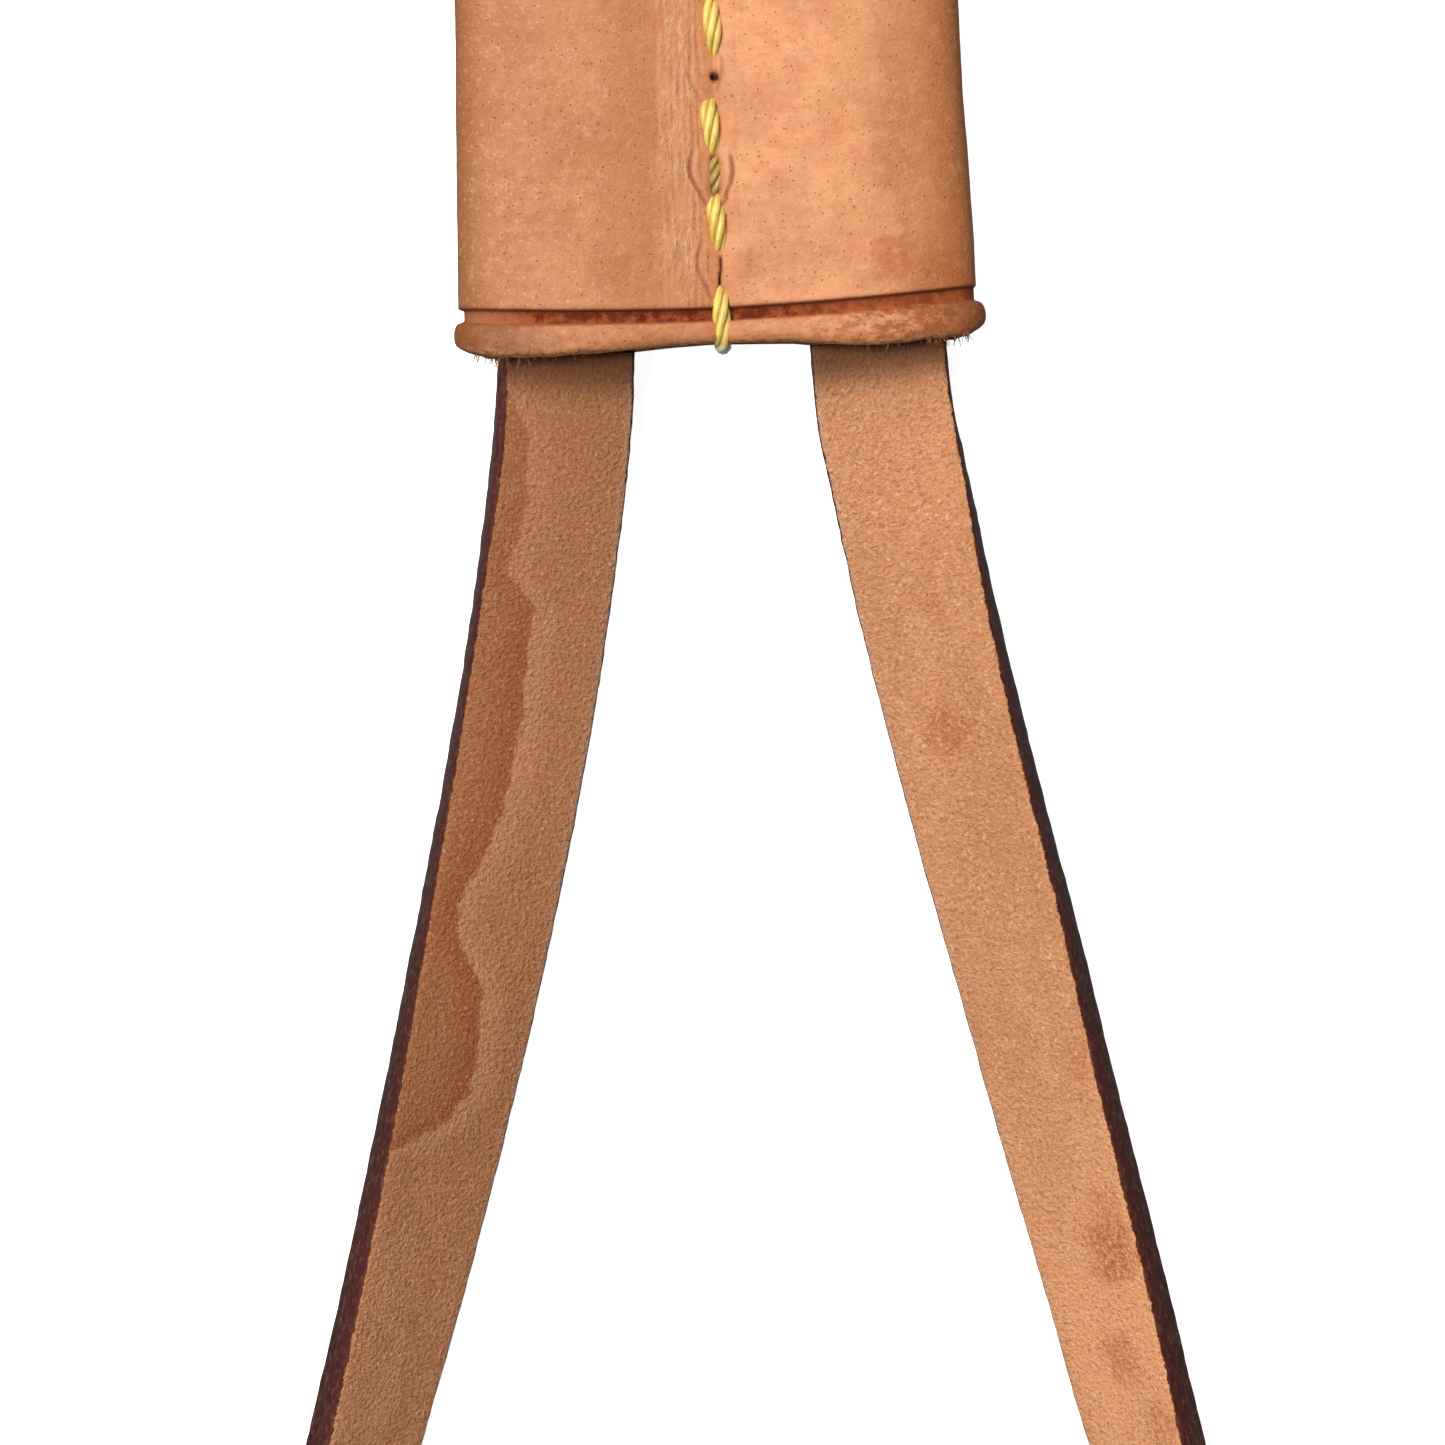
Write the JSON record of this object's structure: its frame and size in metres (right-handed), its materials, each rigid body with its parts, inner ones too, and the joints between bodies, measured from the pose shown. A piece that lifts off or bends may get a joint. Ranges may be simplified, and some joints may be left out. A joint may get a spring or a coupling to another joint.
{
  "type": "drawstring cord slide",
  "caption": "Stitched leather slide with two channels, sliding on a flat leather drawstring lace with knotted ends and a tied loop.",
  "frame": {"origin": "under the middle of the slide, on the plane that its back rests on", "axes": "+Z out of the slide's front, +Y along the lace towards its knotted ends, -Y towards its loop, +X across the slide"},
  "size_m": [0.057, 0.3024, 0.0116],
  "materials": {
    "slide_leather": "natural vegetable-tanned grain side, worn satin",
    "lace_leather": "sueded flesh side up, dark painted edges",
    "waxed_thread": "twisted waxed thread"
  },
  "bodies": {
    "lace": {"lace_in_left_channel": "lace_leather", "lace_in_right_channel": "lace_leather", "lace_run_left": "lace_leather", "lace_run_right": "lace_leather", "lace_hank": "lace_leather", "hank_tie": "waxed_thread", "lace_tail_left": "lace_leather", "lace_tail_right": "lace_leather", "knot_left": "lace_leather", "knot_right": "lace_leather"},
    "slide": {"slide_sleeve": "slide_leather", "seam_thread": "waxed_thread"}
  },
  "joints": [
    {"name": "slide_on_lace", "type": "slide", "parent": "lace", "child": "slide", "axis": [0, 1, 0], "range_m": [0, 0.048]}
  ]
}
